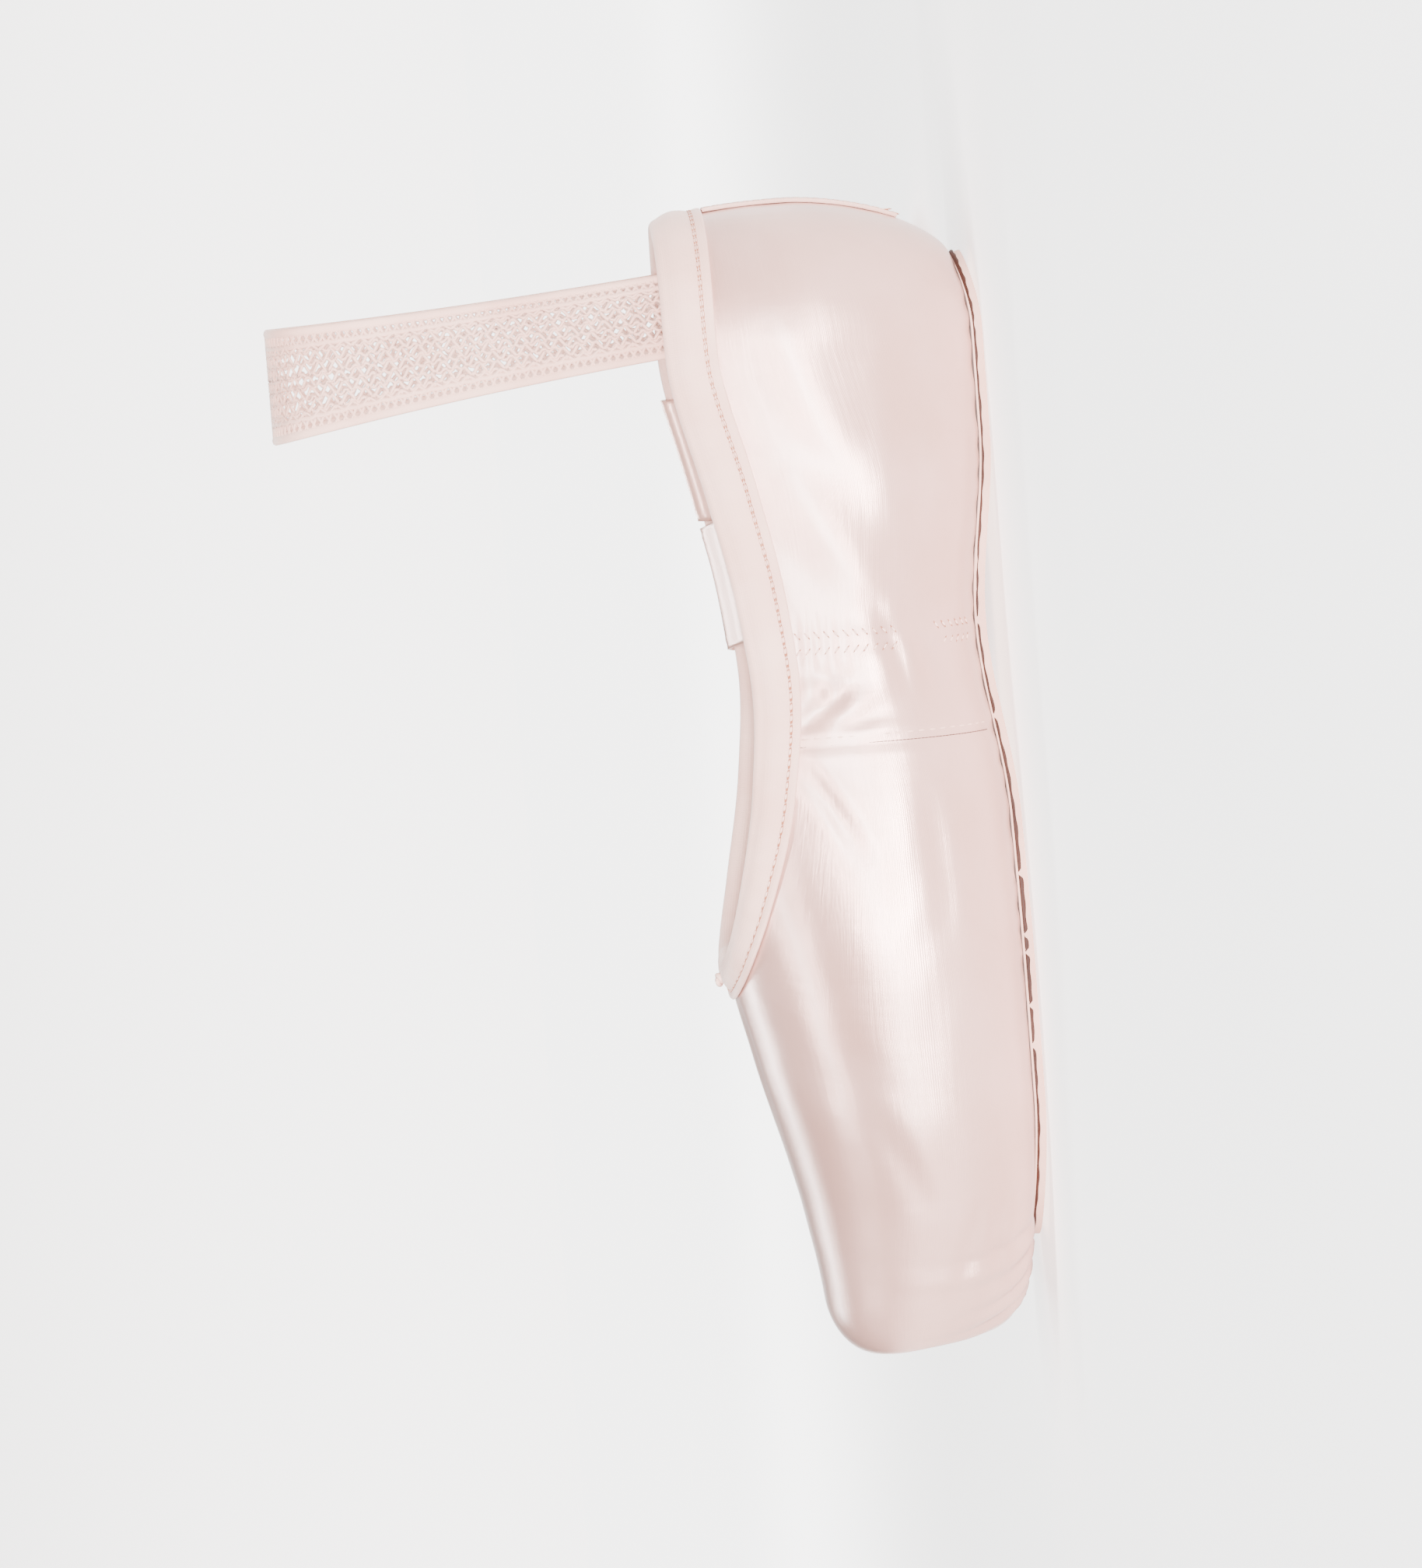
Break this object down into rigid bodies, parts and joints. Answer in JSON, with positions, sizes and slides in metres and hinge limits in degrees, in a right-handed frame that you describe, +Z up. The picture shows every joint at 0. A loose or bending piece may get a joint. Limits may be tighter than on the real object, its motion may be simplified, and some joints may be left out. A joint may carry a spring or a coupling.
{
  "type": "pointe shoe",
  "caption": "Satin pointe shoe with a hard toe box and flat platform, taped collar, thin leather outsole, ankle elastic and satin ribbons, standing flat and empty.",
  "frame": {"origin": "on the floor under the middle of the shoe, ribbons left out", "axes": "+X from heel to toe, +Z up from the floor, +Y to the side that the picture shows, where the ribbon is sewn that crosses the opening"},
  "size_m": [0.2308, 0.4766, 0.141],
  "materials": {
    "satin": "satin",
    "binding_tape": "matte",
    "heel_tape": "matte",
    "outsole_leather": "matte",
    "lining_cotton": "matte",
    "knit_elastic": "matte",
    "ribbon_satin": "satin"
  },
  "bodies": {
    "root": {"upper": "satin", "collar_binding": "binding_tape", "heel_tape": "heel_tape", "outsole": "outsole_leather", "insole": "lining_cotton", "ankle_elastic": "knit_elastic", "ribbon_inner": "ribbon_satin", "ribbon_outer": "ribbon_satin"}
  },
  "joints": []
}
